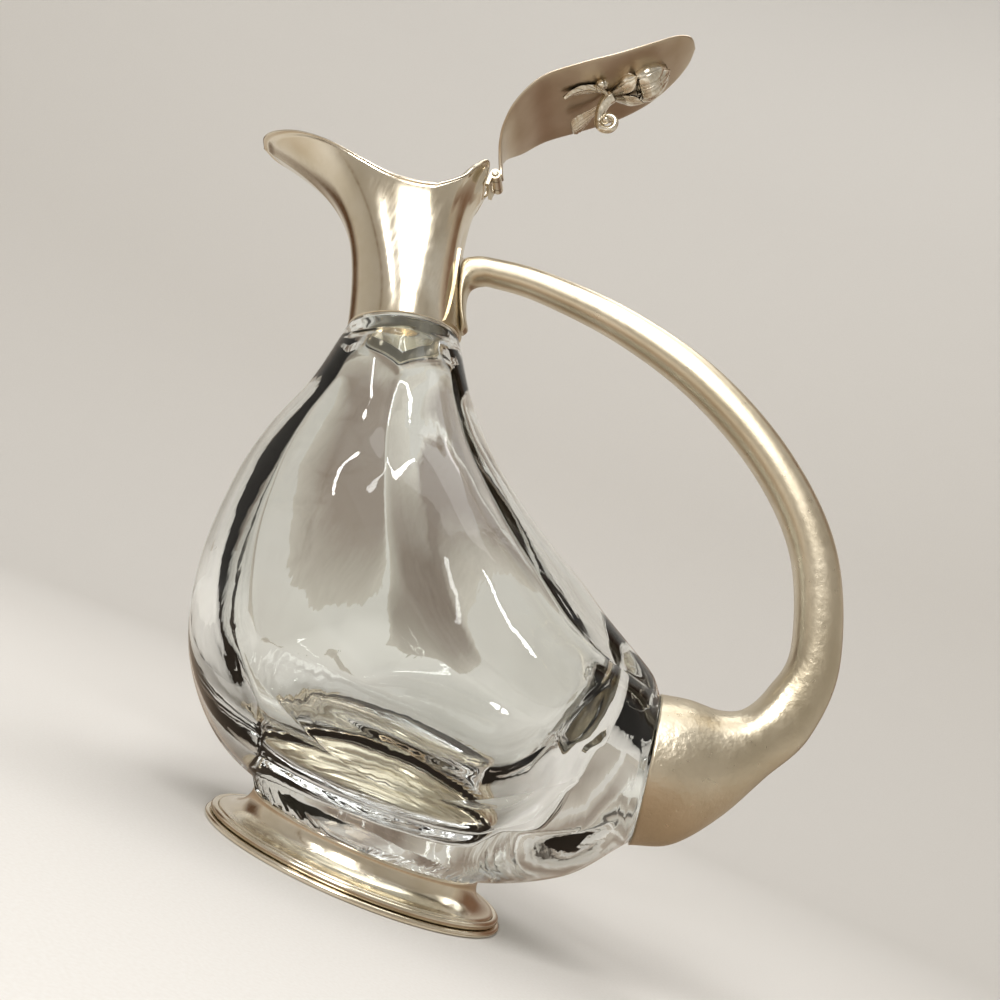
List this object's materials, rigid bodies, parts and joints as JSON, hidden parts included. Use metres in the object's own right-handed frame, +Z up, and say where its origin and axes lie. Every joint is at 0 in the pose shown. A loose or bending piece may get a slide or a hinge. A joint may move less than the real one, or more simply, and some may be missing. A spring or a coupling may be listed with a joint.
{
  "type": "claret jug",
  "caption": "Leaning glass claret jug on a low round foot, with a long pouring spout, a hollow loop handle and a hinged lid with a flower finial, held open",
  "frame": {"origin": "centre of the foot's flat underside", "axes": "+Z up, the spout points to -X, the handle to +X, and the lid's hinge runs along Y"},
  "size_m": [0.2942, 0.1216, 0.3579],
  "materials": {
    "clear_glass": "thick clear blown glass with broad soft ribs",
    "polished_silver": "polished silver plate with fine handling marks",
    "lid_silver": "polished silver plate, slightly duller than the neck",
    "satin_silver": "satin cast silver with darker recesses",
    "pin_metal": "hard drawn pin with peened ends",
    "plaster": "matt plaster cement"
  },
  "bodies": {
    "jug": {"glass_body": "clear_glass", "foot_shell": "polished_silver", "foot_ring": "polished_silver", "foot_bead": "polished_silver", "foot_plate": "polished_silver", "foot_cement": "plaster", "neck_mount": "polished_silver", "neck_cement": "plaster", "handle_pad": "satin_silver", "handle_near_half": "satin_silver", "handle_far_half": "satin_silver", "tail_cement": "plaster", "hinge_bracket": "satin_silver", "hinge_pin": "pin_metal"},
    "lid": {"lid_plate": "lid_silver", "lid_knuckle": "lid_silver", "finial_bloom": "satin_silver", "finial_calyx": "satin_silver", "finial_stem": "satin_silver", "finial_near_leaf": "satin_silver", "finial_far_leaf": "satin_silver", "finial_berry": "satin_silver"}
  },
  "joints": [
    {"name": "lid_hinge", "type": "hinge", "parent": "jug", "child": "lid", "pos_m": [-0.0565, 0, 0.27], "axis": [0, -1, 0], "range_deg": [0, 131.5]}
  ]
}
